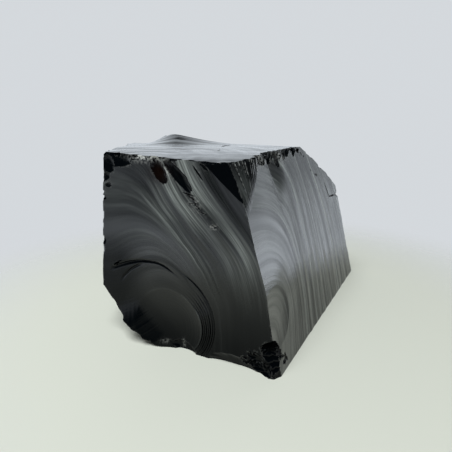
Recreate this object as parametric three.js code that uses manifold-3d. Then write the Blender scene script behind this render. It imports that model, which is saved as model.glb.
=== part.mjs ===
// A broken chunk of banded obsidian, built the way the stone itself came about: a block of volcanic glass
// whose whole outside is conchoidal fractures. Each one spreads from the point where it began as a shallow
// dish ringed by ripples, and where two of them meet they leave a sharp edge, which later lost its flakes.
// Millimetres, +Z up. The origin is under the middle of the chunk, on the surface it rests on. The dark
// front face looks towards -Y and -X, the paler face beside it towards +X.

import * as THREE from "three";
import { mergeVertices } from "three/addons/utils/BufferGeometryUtils.js";
import Module from "manifold-3d";

const wasm = await Module();
wasm.setup();

// Driving dimensions
const LENGTH = 155; // left to right
const BREADTH = 115; // front to back
const TOP_FRONT = 88; // height of the top face at its front edge
const TOP_BACK = 92; // and at the back, where it has levelled out
const HUMP_RISE = 10; // the hump behind the top face stands this far above it
const FRONT_CORNER = [7.5, -57.7, 0]; // where the two front faces meet the ground
const RIDGE_TOP = [-6.8, -51, 70]; // where the ridge between them ends, below the small bevels
const LEFT_FOOT = [-44, -35.3, 0]; // where the front face leaves the ground on the left
const RIGHT_SHOULDER = [23, 6.5, 91]; // where the top starts to fall away to the right
const BLOCK_SPARE = 1.3; // the unbroken block is this much larger than the chunk
const SHEET_REACH = 280; // a fracture's sheet runs this far from its focus
const SHEET_HEIGHT = 320; // and its cutter closes this far outside the face

const DEGREE = Math.PI / 180;
const GLASS = { color: 0x14161a, roughness: 0.18, metalness: 0 };

// Rises from 0 to 1 between two values, with level ends.
const smooth = (low, high, x) => THREE.MathUtils.smoothstep(x, low, high);

// A shallow wave of the given length and height.
const wave = (x, { length, height }) => height * Math.sin((2 * Math.PI * x) / length);

// A low rise that is highest in the middle and gone at its reach.
const bulge = (x, { middle, reach, height }) => height * Math.max(0, 1 - ((x - middle) / reach) ** 2);

// A closed geometry as a manifold solid: shared corners are merged and the flat slivers at a pole left out.
function solid(geometry) {
  geometry.deleteAttribute("normal");
  geometry.deleteAttribute("uv");
  const merged = mergeVertices(geometry, 1e-3);
  const corners = merged.index.array;
  const triVerts = [];
  for (let i = 0; i < corners.length; i += 3) {
    const [a, b, c] = corners.slice(i, i + 3);
    if (a !== b && b !== c && c !== a) triVerts.push(a, b, c);
  }
  const vertProperties = merged.attributes.position.array;
  return new wasm.Manifold(
    new wasm.Mesh({ numProp: 3, vertProperties, triVerts: Uint32Array.from(triVerts) }),
  );
}

// A face's own axes: out along its normal, u level to the right when it is looked at, v up the slope.
function faceAxes({ azimuth, elevation }) {
  const level = Math.cos(elevation * DEGREE);
  const heading = azimuth * DEGREE;
  const rise = Math.sin(elevation * DEGREE);
  const out = new THREE.Vector3(level * Math.cos(heading), level * Math.sin(heading), rise);
  const u = new THREE.Vector3(-Math.sin(heading), Math.cos(heading), 0);
  return { out, u, v: out.clone().cross(u) };
}

// What a break took away. Its sheet is a lathe of flat rings round the focus; spread moves each point of a
// ring within the face and relief lifts it along the normal. Outside the face the lathe closes in a cone.
function cutter({ face, rings, height, steps, spread, relief }) {
  const profile = [0, ...rings].map((radius) => new THREE.Vector2(radius, 0));
  const geometry = new THREE.LatheGeometry([...profile, new THREE.Vector2(0, height)], steps);
  const place = geometry.attributes.position;
  for (let i = 0; i < place.count; i++) {
    const radius = Math.hypot(place.getX(i), place.getZ(i));
    const [u, v] = spread(place.getX(i), -place.getZ(i), radius);
    const lift = place.getY(i) > 0 ? height : relief(u, v, radius);
    place.setXYZ(i, u, lift, -v);
  }
  const { out, u, v } = faceAxes(face);
  const frame = new THREE.Matrix4().makeBasis(u, out, v.negate()).setPosition(...face.through);
  return solid(geometry.applyMatrix4(frame));
}

// A whole face. The rings drift sideways as they widen, because a fracture never runs evenly.
function fracture(face) {
  const { focus, rings, drift = [0, 0], steps, relief } = face;
  const last = rings.at(-1);
  const spread = (u, v, radius) => {
    const beyond = Math.min(Math.max(0, radius - rings[0]), last);
    return [focus[0] + u + drift[0] * beyond, focus[1] + v + drift[1] * beyond];
  };
  return cutter({ face, rings: [...rings, SHEET_REACH], height: SHEET_HEIGHT, steps, spread, relief });
}

// The scar of a flake: a shallow oval shell with one ripple, which comes out of the face again at its rim.
const FLAKE_RINGS = [0.35, 0.7, 1, 1.5]; // as parts of its length, the rim at 1
const FLAKE_RIPPLE = { length: 1, height: 0.12 }; // as parts of its length and depth
function flake({ face, at, length, width, depth, spin = 0, steps = 14 }) {
  const along = Math.cos(spin * DEGREE);
  const across = Math.sin(spin * DEGREE);
  const spread = (p, q) => {
    const side = (q * width) / length;
    return [at[0] + p * along - side * across, at[1] + p * across + side * along];
  };
  const relief = (u, v, radius) => {
    const part = radius / length;
    return depth * (part ** 2 - 1 - wave(part, FLAKE_RIPPLE));
  };
  const rings = FLAKE_RINGS.map((part) => part * length);
  return cutter({ face, rings, height: length + 4 * depth, steps, spread, relief });
}

// Ring radii: even steps inside the dish, several to each ripple, then wide ones out to the far edges.
function ringsOf({ dish, dishSteps, ripple, ripples, perRipple, wide, to }) {
  const radii = [];
  for (let i = 1; i <= dishSteps; i++) radii.push((dish * i) / dishSteps);
  for (let i = 1; i <= ripples * perRipple; i++) radii.push(dish + (ripple * i) / perRipple);
  for (let radius = radii.at(-1) + wide; radius < to; radius += wide) radii.push(radius);
  return radii;
}

// The dish of a fracture and the ripples round it, which die away with distance.
function conchoid(radius, { dish, depth, ripple, height, fade }) {
  if (radius < dish) return -depth * (1 - (radius / dish) ** 2);
  return wave(radius - dish, { length: ripple, height }) * Math.exp(-(radius - dish) / fade);
}

// The dark front face, with the big dish and rings that spread from its lower left.
const FRONT_RINGS = { dish: 15, depth: 2.2, ripple: 3.6, height: 0.3, fade: 20 };
const FRONT_RIBS = { across: [0.75, 0.66], length: 18, height: 0.4, start: 40, full: 66 };
const FRONT = {
  through: FRONT_CORNER,
  azimuth: -113.5,
  elevation: 0,
  focus: [-54, 13],
  drift: [-0.34, -0.1],
  steps: 60,
  rings: ringsOf({ ...FRONT_RINGS, dishSteps: 3, ripples: 6, perRipple: 3, wide: 9, to: 125 }),
  relief: (u, v, radius) => {
    const diagonal = FRONT_RIBS.across[0] * u + FRONT_RIBS.across[1] * v;
    const ribs = wave(diagonal, FRONT_RIBS) * smooth(FRONT_RIBS.start, FRONT_RIBS.full, v);
    return conchoid(radius, FRONT_RINGS) + ribs;
  },
};

// The paler face on the right, whose rings spread from low down beside the ridge.
const RIGHT_RINGS = { dish: 14, depth: 0.9, ripple: 5.5, height: 0.25, fade: 26 };
const RIGHT_FOLDS = { length: 24, height: 0.35, start: 34, full: 60 };
const RIGHT = {
  through: FRONT_CORNER,
  azimuth: -31.7,
  elevation: 12.7,
  focus: [2, 13],
  steps: 56,
  rings: ringsOf({ ...RIGHT_RINGS, dishSteps: 2, ripples: 4, perRipple: 3, wide: 12, to: 150 }),
  relief: (u, v, radius) => {
    const folds = wave(u, RIGHT_FOLDS) * smooth(RIGHT_FOLDS.start, RIGHT_FOLDS.full, u);
    return conchoid(radius, RIGHT_RINGS) + folds;
  },
};

// The top: one broad scar that droops to the front edge and ends behind in a low three-sided hump.
const TOP_DROOP = 22; // how far back from the front edge it takes to level out
const TOP_EDGE = -45; // where that droop is measured from
const HUMP = { left: -63, peak: -45, right: -11, start: 22, end: 50 };
const TOP_WAVE = { length: 16, height: 0.12 };
const TOP = {
  through: [0, 0, TOP_BACK],
  azimuth: -90,
  elevation: 90,
  focus: [-48, -33],
  steps: 56,
  rings: ringsOf({ dish: 8, dishSteps: 1, ripple: 8, ripples: 3, perRipple: 1, wide: 8, to: 150 }),
  relief: (u, v, radius) => {
    const side = u < HUMP.peak ? HUMP.left : HUMP.right;
    const tent = Math.max(0, 1 - (u - HUMP.peak) / (side - HUMP.peak));
    const ramp = Math.max(0, (v - HUMP.start) / (HUMP.end - HUMP.start));
    const droop = (TOP_FRONT - TOP_BACK) * Math.exp(-Math.max(0, v - TOP_EDGE) / TOP_DROOP);
    return droop + HUMP_RISE * tent * ramp + wave(radius, TOP_WAVE);
  },
};

// Two small bevels that end the ridge at the top: a plain one to the front and one with radiating hackles.
const BEVEL_HOLLOW = { depth: 0.9, reach: 22 };
const BEVEL = {
  through: RIDGE_TOP,
  azimuth: -100,
  elevation: 10.7,
  focus: [-10, 18],
  steps: 28,
  rings: [7, 14, 22, 40],
  relief: (u, v, radius) => BEVEL_HOLLOW.depth * (smooth(0, BEVEL_HOLLOW.reach, radius) - 1),
};
const HACKLE = { at: [2, 24], count: 11, height: 0.4, start: 2, full: 9, fade: 16, end: 34 };
const HACKLES = {
  through: RIDGE_TOP,
  azimuth: -43.3,
  elevation: 23.9,
  focus: HACKLE.at,
  steps: 44,
  rings: [3, 8, 14, 22, 40],
  relief: (u, v, radius) => {
    const turn = Math.atan2(v - HACKLE.at[1], u - HACKLE.at[0]);
    const near = smooth(HACKLE.start, HACKLE.full, radius);
    const range = near * (1 - smooth(HACKLE.fade, HACKLE.end, radius));
    return HACKLE.height * Math.sin(HACKLE.count * turn) * range;
  },
};

// The slope that the top falls away on, behind the right face.
const SHOULDER_BULGE = { middle: -32, reach: 40, height: 2.4 };
const SHOULDER_WAVE = { length: 20, height: 0.35 };
const SHOULDER = {
  through: RIGHT_SHOULDER,
  azimuth: 54.4,
  elevation: 65,
  focus: [-46, -4],
  steps: 40,
  rings: [10, 20, 30, 40, 50, 62, 76, 95],
  relief: (u, v, radius) => bulge(v, SHOULDER_BULGE) + wave(radius, SHOULDER_WAVE),
};

// The left side, which twists upright towards the back, and the bulging undercut below it.
const LEFT_RINGS = { dish: 18, depth: 2, ripple: 6, height: 0.35, fade: 26 };
const LEFT_TWIST = { reach: 70, foot: -33, height: 66, out: 6 };
const LEFT = {
  through: [-72.8, -22.5, 58],
  azimuth: -180,
  elevation: 6.5,
  focus: [-38, 30],
  steps: 48,
  rings: ringsOf({ ...LEFT_RINGS, dishSteps: 2, ripples: 3, perRipple: 3, wide: 12, to: 100 }),
  relief: (u, v, radius) => {
    const raise = (v - LEFT_TWIST.foot) / LEFT_TWIST.height;
    const twist = LEFT_TWIST.out * smooth(0, LEFT_TWIST.reach, -u) * raise;
    return conchoid(radius, LEFT_RINGS) + twist;
  },
};
const UNDERCUT_RINGS = { dish: 12, depth: 1.2, ripple: 6, height: 0.4, fade: 30 };
const UNDERCUT_BULGE = { middle: 21, reach: 23, height: 3.8 };
const UNDERCUT = {
  through: LEFT_FOOT,
  azimuth: 170.5,
  elevation: -54,
  focus: [-12, 40],
  steps: 44,
  rings: ringsOf({ ...UNDERCUT_RINGS, dishSteps: 2, ripples: 4, perRipple: 2, wide: 10, to: 90 }),
  relief: (u, v, radius) => conchoid(radius, UNDERCUT_RINGS) + bulge(v, UNDERCUT_BULGE),
};

// Behind: two broad scars that meet in a steep ridge, one that takes the left corner and one low down.
const BACK_RIGHT_RINGS = { dish: 20, depth: 2.4, ripple: 5, height: 0.45, fade: 26 };
const BACK_RIGHT = {
  through: [66, 55.4, 20],
  azimuth: 88,
  elevation: 1.5,
  focus: [14, -19],
  drift: [0.2, 0],
  steps: 56,
  rings: ringsOf({ ...BACK_RIGHT_RINGS, dishSteps: 3, ripples: 4, perRipple: 3, wide: 12, to: 110 }),
  relief: (u, v, radius) => conchoid(radius, BACK_RIGHT_RINGS),
};
const BACK_LEFT_RINGS = { dish: 20, depth: 2.2, ripple: 7, height: 0.5, fade: 34 };
const BACK_LEFT = {
  through: [-45, 51.5, 92],
  azimuth: 97,
  elevation: 1,
  focus: [0, 5],
  steps: 56,
  rings: ringsOf({ ...BACK_LEFT_RINGS, dishSteps: 3, ripples: 5, perRipple: 3, wide: 12, to: 120 }),
  relief: (u, v, radius) => conchoid(radius, BACK_LEFT_RINGS),
};
const BACK_CORNER_WAVE = { length: 16, height: 0.45 };
const BACK_CORNER = {
  through: [-70, 37, 30],
  azimuth: 140,
  elevation: -14,
  focus: [0, -32],
  steps: 40,
  rings: [8, 16, 20, 24, 28, 34, 42, 52, 64],
  relief: (u, v, radius) => wave(radius, BACK_CORNER_WAVE),
};
const BACK_FOOT_WAVE = { length: 14, height: 0.4 };
const BACK_FOOT = {
  through: [-8, 45, 0],
  azimuth: 98,
  elevation: -46,
  focus: [12, 14],
  steps: 40,
  rings: [7, 14, 18, 21, 24, 28, 34, 42, 54, 70],
  relief: (u, v, radius) => wave(radius, BACK_FOOT_WAVE),
};

const FRACTURES = [
  FRONT,
  RIGHT,
  TOP,
  BEVEL,
  HACKLES,
  SHOULDER,
  LEFT,
  UNDERCUT,
  BACK_RIGHT,
  BACK_LEFT,
  BACK_CORNER,
  BACK_FOOT,
];

// Flake scars that show from a step away, each with the face it broke out of and where on that face.
const FLAKES = [
  { face: FRONT, at: [0, 9], length: 10, width: 6, depth: 4, spin: 80 }, // the chipped foot of the ridge
  { face: FRONT, at: [-22, 1], length: 12, width: 4.5, depth: 1.4, spin: 6 }, // under the front edge
  { face: FRONT, at: [-46, 1], length: 7, width: 4, depth: 2.2, spin: -20 }, // crushed start of the front
  { face: FRONT, at: [-91, 49], length: 4, width: 3, depth: 1.2, spin: 90 }, // nick in the left edge
  { face: FRONT, at: [-76, 87], length: 11, width: 4, depth: 1.3, spin: 4 }, // black chips, top left
  { face: FRONT, at: [-83, 78], length: 5, width: 3, depth: 0.8, spin: 50 },
  { face: FRONT, at: [-54, 84], length: 7.5, width: 3.6, depth: 3.4, spin: -62 }, // pit below the top edge
  { face: FRONT, at: [-45.5, 82.5], length: 9.5, width: 3, depth: 2.2, spin: -46 }, // crescent beside it
  { face: FRONT, at: [-59, 90], length: 7, width: 2.6, depth: 1.6, spin: 0 }, // crushed top edge
  { face: RIGHT, at: [36, 82], length: 9, width: 4.5, depth: 1.8, spin: 84 }, // dark smear under the top
  { face: RIGHT, at: [52, 92], length: 9, width: 4, depth: 2, spin: 10 }, // crumbled top edge
  { face: RIGHT, at: [70, 95], length: 7, width: 3, depth: 1.6, spin: -12 },
  { face: RIGHT, at: [124, 60], length: 9, width: 3.5, depth: 2.2, spin: -8 }, // step in the right edge
  { face: TOP, at: [-18, 52], length: 6, width: 4, depth: 1.2 }, // nicks behind the top face
  { face: SHOULDER, at: [-52, -20], length: 16, width: 11, depth: 1.8, spin: 40, steps: 20 },
  { face: LEFT, at: [-14, -18], length: 13, width: 8, depth: 1.6, spin: 80, steps: 20 },
  { face: BACK_RIGHT, at: [40, 50], length: 22, width: 14, depth: 2.8, spin: 20, steps: 22 },
  { face: BACK_RIGHT, at: [60, -10], length: 15, width: 12, depth: 2, spin: -30, steps: 20 },
  { face: BACK_LEFT, at: [10, -72], length: 18, width: 13, depth: 2.2, spin: 20, steps: 22 },
];

function chunk() {
  const block = new THREE.BoxGeometry(BLOCK_SPARE * LENGTH, BLOCK_SPARE * BREADTH, 2 * TOP_BACK);
  block.translate(0, 0, TOP_BACK);
  const cutters = [...FRACTURES.map(fracture), ...FLAKES.map(flake)];
  return cutters.reduce((stone, taken) => stone.subtract(taken), solid(block));
}

// The stone as one mesh.
function stoneMesh() {
  const { numProp, vertProperties, triVerts } = chunk().getMesh();
  const geometry = new THREE.BufferGeometry();
  geometry.setAttribute("position", new THREE.BufferAttribute(vertProperties, numProp));
  geometry.setIndex(new THREE.BufferAttribute(triVerts, 1));
  geometry.computeVertexNormals();
  const mesh = new THREE.Mesh(geometry, new THREE.MeshStandardMaterial(GLASS));
  mesh.name = "obsidian_chunk";
  return mesh;
}

const obsidian = new THREE.Group();
obsidian.add(stoneMesh());

export default obsidian;
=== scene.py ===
"""Looks of the obsidian chunk: a black, glassy stone whose faces are conchoidal fractures with flow bands.

The stone is carved as it broke. A block loses one cutter for each fracture face and each flake scar. A
cutter's sheet is a polar grid round the point where the break began: ring radius and turn are its two
parameters, and its height over the face is worked out for the whole grid at once.
Lengths inside the formulas are in millimetres; the finished mesh is in metres, in the part's frame.
"""

from typing import NamedTuple

import bpy
import numpy as np
from mathutils import Matrix


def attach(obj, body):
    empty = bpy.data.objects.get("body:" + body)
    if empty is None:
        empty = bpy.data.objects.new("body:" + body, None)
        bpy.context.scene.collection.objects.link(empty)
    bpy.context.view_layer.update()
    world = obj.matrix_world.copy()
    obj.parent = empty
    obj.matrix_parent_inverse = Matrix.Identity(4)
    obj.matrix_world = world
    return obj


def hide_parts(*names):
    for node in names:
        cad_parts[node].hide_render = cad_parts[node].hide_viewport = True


bl_info = {
    "name": "Obsidian chunk",
    "version": (1, 0, 0),
    "blender": (4, 5, 0),
    "location": "3D View > Sidebar > Obsidian",
    "description": "Carves a broken chunk of banded obsidian and sets a plain studio round it",
    "category": "Object",
}

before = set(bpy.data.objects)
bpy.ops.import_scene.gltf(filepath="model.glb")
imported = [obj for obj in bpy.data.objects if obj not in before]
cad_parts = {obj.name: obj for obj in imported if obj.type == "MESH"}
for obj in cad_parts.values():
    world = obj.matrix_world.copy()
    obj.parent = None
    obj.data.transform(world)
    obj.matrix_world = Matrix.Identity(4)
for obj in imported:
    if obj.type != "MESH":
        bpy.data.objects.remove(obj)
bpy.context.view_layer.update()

NODE = "obsidian_chunk"
SLOT = "obsidian"
MM = 0.001
TAU = 2 * np.pi

# Shared corners of the stone, in millimetres
FRONT_CORNER = (7.5, -57.7, 0.0)
RIDGE_TOP = (-6.8, -51.0, 70.0)
BEVEL_TIP = (-9.5, -50.3, 75.2)
LEFT_FOOT = (-44.0, -35.3, 0.0)
RIGHT_SHOULDER = (23.0, 6.5, 91.0)
BLOCK = ((-100, -75, 0), (100, 75, 184))


# Formulas


def smooth(low, high, x):
    """Rises from 0 at low to 1 at high along a cubic with level ends."""
    part = np.clip((x - low) / (high - low), 0, 1)
    return part * part * (3 - 2 * part)


def hump(x, middle, half):
    """A bell of height 1: the exponential of minus the squared distance from the middle, in half widths."""
    return np.exp(-(((x - middle) / half) ** 2))


def spot(u, v, x, y, across, up):
    """An oval bell of height 1 round a place: the bell of the distance in half widths across and up."""
    return hump(np.hypot((u - x) / across, (v - y) / up), 0, 1)


def wave(x, length, height):
    """A sine wave of that length and height."""
    return height * np.sin(TAU * x / length)


def waver(u, v, length, height, seed):
    """Soft unevenness: six sine waves of about that length in directions drawn from a seeded generator."""
    draw = np.random.default_rng(seed)
    turn, phase = draw.uniform(0, TAU, (2, 6))
    pitch = TAU / (length * draw.uniform(0.7, 1.5, 6))
    along = u[..., None] * np.cos(turn) + v[..., None] * np.sin(turn)
    return height * np.sin(along * pitch + phase).sum(-1) / 6**0.5


def dish(rho, radius, depth):
    """A shallow bowl: minus the depth at the focus, rising with the square of the radius to 0 at the rim."""
    return -depth * np.clip(1 - (rho / radius) ** 2, 0, None)


def ripples(rho, start, length, height, fade):
    """Rings outside the dish: a sine of the distance from its rim, dying away exponentially."""
    beyond = np.clip(rho - start, 0, None)
    return wave(beyond, length, height) * np.exp(-beyond / fade)


# How loosely a flow field follows its guide lines
GUIDE_SLACK = 200.0


def thin_plate(guides):
    """A smooth field over a face from its guide lines: each guide gives points that share one value.

    The field is a plane plus a sum of r squared log r terms round the points, with the weights that meet
    the values closely. Its level lines then follow the guides.
    """
    points = np.concatenate([np.array(line, float) for _, line in guides])
    values = np.concatenate([np.full(len(line), value, float) for value, line in guides])

    def kernel(p):
        gap = ((p[:, None, :] - points[None]) ** 2).sum(-1)
        return 0.5 * gap * np.log(gap + 1e-9)

    count = len(points)
    plane = np.column_stack([np.ones(count), points])
    system = np.zeros((count + 3, count + 3))
    system[:count, :count] = kernel(points) + GUIDE_SLACK * np.eye(count)
    system[:count, count:] = plane
    system[count:, :count] = plane.T
    weights = np.linalg.solve(system, np.concatenate([values, np.zeros(3)]))

    def field(u, v):
        p = np.column_stack([np.ravel(u), np.ravel(v)])
        total = kernel(p) @ weights[:count] + np.column_stack([np.ones(len(p)), p]) @ weights[count:]
        return total.reshape(np.shape(u))

    return field


# The hackles: how far they stand over their plane and how much more at its lower tip, the gap over the right
# face, the width of the blend into it, and the point their strokes fan out from, across and up
HACKLE_HEIGHT = 0.7
HACKLE_RISE = 1.3
HACKLE_GAP = 0.25
HACKLE_BLEND = 1.5
HACKLE_FAN = (6.8, -22.0)

# The dish on the front: its middle across and up, and the cracks round it as ring radius and depth
DISH = (-53.5, 13.5)
RING_CRACKS = (
    (17.6, 1.3), (19.2, 0.7), (20.7, 1.0), (22.2, 0.7), (23.7, 1.2), (25.4, 0.8), (27.0, 0.6),
)

# Single streaks: place in the flow, half width and strength, on the front and then on the right face.
# The right face's flow is shifted, so that one span holds both.
RIGHT_SHIFT = 110.0
FLOW_SPAN = 250.0
STREAKS = (
    (43.4, 0.55, 0.8), (45.2, 0.5, 0.5), (51.0, 0.8, 0.35), (54.0, 0.7, 0.55), (57.5, 0.8, 0.3),
    (65.5, 1.0, 0.35), (172.3, 1.0, 0.8), (190.0, 1.2, 0.9), (209.8, 1.2, 0.5), (234.5, 1.5, 0.8),
)

# Flow guides of the two front faces: a value, then points along one band, across and up the face
FRONT_GUIDES = [
    (17, [(-67, 22), (-63, 28), (-56.5, 31.5), (-51, 31), (-45, 28.5), (-40, 24), (-38, 17.5), (-37.5, 9.5)]),
    (27, [(-79, 31), (-71, 40), (-62, 43), (-53, 43.5), (-43, 39), (-35, 29), (-31.3, 19), (-30.4, 6)]),
    (33, [(-86, 46), (-78, 52), (-63.5, 55.5), (-49, 52), (-42.5, 47), (-37.5, 41), (-31, 28.5),
          (-29, 19.5), (-29, 6)]),
    (39, [(-89, 76), (-79.5, 75.5), (-70.5, 73.5), (-62.5, 69.5), (-55.5, 64.5), (-50, 59), (-45.5, 52.5),
          (-40, 44.5), (-35.5, 32), (-30, 19), (-28.6, 6)]),
    (43, [(-59, 84), (-54.5, 77), (-49, 65), (-43.5, 54), (-39, 44), (-33.2, 31.5), (-28.8, 19), (-27.5, 6)]),
    (57, [(-50.5, 80), (-45, 74), (-39, 69), (-33.5, 64), (-28, 59), (-22, 53), (-18, 46),
          (-15, 32), (-14, 16)]),
    (68, [(-36, 82.5), (-30.5, 74.5), (-25, 67), (-19.5, 60), (-14, 52.5), (-10, 44), (-6, 30), (-4.5, 14)]),
]
RIGHT_GUIDES = [
    (10, [(2, 30), (9, 28), (12.5, 21), (11.5, 12), (8, 6)]),
    (20, [(-4, 41.5), (2.5, 42), (11, 40), (17, 35.5), (20, 29), (20.5, 21.5), (19, 15), (15.5, 7)]),
    (32, [(-8, 56), (-2, 59), (5.5, 59.5), (15.5, 56), (23.5, 49), (28, 41), (30, 31), (30.5, 22),
          (28.5, 12), (25.5, 3)]),
    (44, [(4, 77), (14, 75), (23, 71), (31, 63), (37.5, 53.5), (39.5, 43.5), (41, 33.5), (41.5, 24),
          (40.5, 14.5), (39, 4)]),
    (60, [(44, 86), (50, 76), (53, 62), (54.5, 49), (56.5, 36.5), (57, 22.5), (55, 9)]),
    (100, [(72.5, 88), (82, 74), (90, 57), (95, 41), (97.5, 25), (97, 8)]),
]


# Faces of the stone


def front_cracks(u, v, rho):
    """Depth of the cracks on the front: narrow bells along rings beside the dish and along a bow above it."""
    turn = np.arctan2(v - 14, u + 54)
    rings = sum(part * hump(rho, place, 0.33) for place, part in RING_CRACKS) * hump(turn, -0.1, 0.62)
    right = 0.35 * smooth(-0.2, 0.6, turn) * (1 - smooth(0.9, 1.4, turn))
    left = 1.1 * smooth(1.95, 2.15, turn) * (1 - smooth(2.4, 2.6, turn))
    arch = (right + left) * hump(np.hypot(u + 57, v - 16), 26.6, 0.35)
    bow = v - 42.6 + np.where(u < -60, 0.0115, 0.035) * (u + 60) ** 2
    half = 0.3 + 0.4 * (1 - smooth(-78, -60, u))
    deep = smooth(-86, -81, u) * (1 - smooth(-56, -46, u)) * (1.2 - 0.6 * smooth(-66, -56, u))
    return rings + arch + deep * hump(bow, 0, half)


def front_relief(u, v, rho):
    """The front: a dish low on the left, cracks round its right side and above it, slanting ribs.

    The dish turns up to a lip at its lower left: the square of the way beyond its rim, straight further out.
    """
    flow = FRONT_FLOW(u, v)
    ribs = (wave(flow, 9.5, 0.13) + wave(flow, 5.3, 0.05)) * smooth(38, 58, v) * smooth(38, 46, flow)
    folds = wave(0.97 * u + 0.2 * v, 2.6, 0.02) * hump(u, -73, 6) * hump(v, 14, 8)
    p, q = u - DISH[0], v - DISH[1]
    aside = (p - q) / 2**0.5
    across_lip = smooth(-24, -10, aside) * (1 - smooth(2, 16, aside))
    beyond = np.clip(-(p + q) / 2**0.5, 0, None)
    lip = 0.02 * np.where(beyond < 9, beyond**2, 18 * beyond - 81) * across_lip
    nose = 2.0 * hump(u, -6, 7) * hump(v, 0, 7)
    form = dish(rho, 17, 1.9) + lip + nose
    return form, ribs + folds - front_cracks(u, v, rho) + waver(u, v, 15, 0.06, 3)


def right_relief(u, v, rho):
    """The right face: bulges beside the ridge, faint rings round its focus, long uneven folds further out.

    At the top a hollow is steep on its left and rises slowly to the right.
    """
    flow = RIGHT_FLOW(u, v)
    rings = wave(flow, 2.1, 0.012) * smooth(8, 14, flow) * (1 - smooth(44, 60, flow))
    folds = wave(flow, 11, 0.08) + wave(flow + waver(u, v, 50, 1.2, 6), 6.7, 0.06) + wave(flow, 3.9, 0.025)
    bulge = 1.3 * hump(u, -4, 24) * hump(v, 36, 18)
    aside = u - 25 + 0.25 * (v - 80)
    hollow = -2.3 * smooth(0, 2.5, aside) * (1 - smooth(2.5, 17, aside)) * smooth(63, 86, v)
    form = dish(rho, 13, 0.8) + bulge + hollow
    return form, rings + folds * smooth(24, 52, u) + waver(u, v, 16, 0.05, 5)


def top_relief(x, y, rho):
    """The top: droops exponentially to the front edge; a tent across times a ramp back makes the hump."""
    droop = -4.0 * np.exp(-np.clip(y + 45, 0, None) / 22)
    tent = np.clip(np.where(x < -45, (x + 63) / 18, (-11 - x) / 34), 0, 1)
    ramp = np.clip((y - 22) / 28, 0, None)
    rings = wave(rho, 6.5, 0.07) + wave(rho, 17, 0.12)
    return droop + 10.0 * tent * ramp, rings + waver(x, y, 20, 0.06, 7)


def bevel_relief(u, v, rho):
    """The dark bevel left of the ridge top: one hollow with a few long steps."""
    return -0.5 * (1 - smooth(0, 22, rho)), wave(0.8 * u + 0.6 * v, 3.2, 0.06)


def hackle_relief(u, v, rho):
    """The bevel right of it: hackles, fine ridges of uneven height that fan out to the top edge.

    It rounds off into the right face: the soft lesser of its own sheet, which rises at its lower tip, and a
    sheet a little over the right face. That is minus the blend width times the log of the sum of both falls.
    """
    own, right = FACES["hackles"], FACES["right"]
    out, across, up = own.axes()
    other, across_right, up_right = right.axes()
    gap = np.array(right.through) - np.array(own.through)
    over = (other @ gap - u * (other @ across) - v * (other @ up)) / (other @ out)
    place = u[..., None] * across + v[..., None] * up + over[..., None] * out - gap
    u_right, v_right = place @ across_right, place @ up_right
    form, _ = right_relief(u_right, v_right, right.radius(u_right, v_right))
    over = over + (form + HACKLE_GAP) / (other @ out)
    high = HACKLE_HEIGHT + HACKLE_RISE * (1 - smooth(0, 15, v))
    low = -HACKLE_BLEND * np.logaddexp(-high / HACKLE_BLEND, -over / HACKLE_BLEND)
    return low, 0.6 * hackles(u, v) * smooth(-1.5, 1.5, over)


def fan_turn(u, v):
    """The turn of a place round the point that the hackles fan out from."""
    return np.arctan2(u - HACKLE_FAN[0], v - HACKLE_FAN[1])


def hackles(u, v):
    """Strokes of the fan: what is over a limit in two sines of the turn, of uneven length."""
    turn = fan_turn(u, v)
    grain = 0.6 * np.sin(170 * turn + 2 * np.sin(23 * turn)) + 0.5 * np.sin(251 * turn + 0.2 * v)
    length = 8 + 4 * np.sin(61 * turn) + 3 * np.sin(97 * turn + 1)
    return np.clip(grain - 0.1, 0, None) * smooth(0, 4, v - 21 + length)


def shoulder_relief(u, v, rho):
    """The slope behind the right face: a low bulge and broad rings."""
    bulge = 2.4 * np.clip(1 - ((v + 32) / 40) ** 2, 0, None)
    return bulge, wave(rho, 20, 0.35) + wave(rho, 4.6, 0.06) + waver(u, v, 14, 0.08, 11)


def left_relief(u, v, rho):
    """The left side: twists upright towards the back, with a dish and rings from its top edge."""
    twist = 6.0 * smooth(0, 70, -u) * (v + 33) / 66
    return dish(rho, 18, 2.0) + twist, ripples(rho, 18, 6, 0.35, 26) + waver(u, v, 13, 0.1, 13)


def undercut_relief(u, v, rho):
    """The undercut: bulges outwards halfway up, with rings from its upper edge."""
    bulge = 3.8 * np.clip(1 - ((v - 21) / 23) ** 2, 0, None)
    return bulge + dish(rho, 12, 1.2), ripples(rho, 12, 6, 0.4, 30) + waver(u, v, 9, 0.12, 17)


def dished_relief(depth, length, height, fade, fine, patch, seed):
    """A half of the back: a dish and two sets of rings that die away from its rim."""

    def relief(u, v, rho):
        rings = ripples(rho, 20, length, height, fade) + ripples(rho, 20, fine, 0.05, 40)
        return dish(rho, 20, depth), rings + waver(u, v, patch, 0.1, seed)

    return relief


def ringed_relief(length, height, fine, seed):
    """A scar that took a corner or the foot of the back: plain rings."""

    def relief(u, v, rho):
        return 0 * u, wave(rho, length, height) + wave(rho, fine, 0.06) + waver(u, v, 10, 0.1, seed)

    return relief


FRONT_FLOW = thin_plate(FRONT_GUIDES)
RIGHT_FLOW = thin_plate(RIGHT_GUIDES)
back_right_relief = dished_relief(2.4, 5, 0.45, 26, 2.2, 16, 19)
back_left_relief = dished_relief(2.2, 7, 0.5, 34, 2.4, 18, 23)
back_corner_relief = ringed_relief(16, 0.45, 4, 29)
back_foot_relief = ringed_relief(14, 0.4, 3.5, 31)


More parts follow.
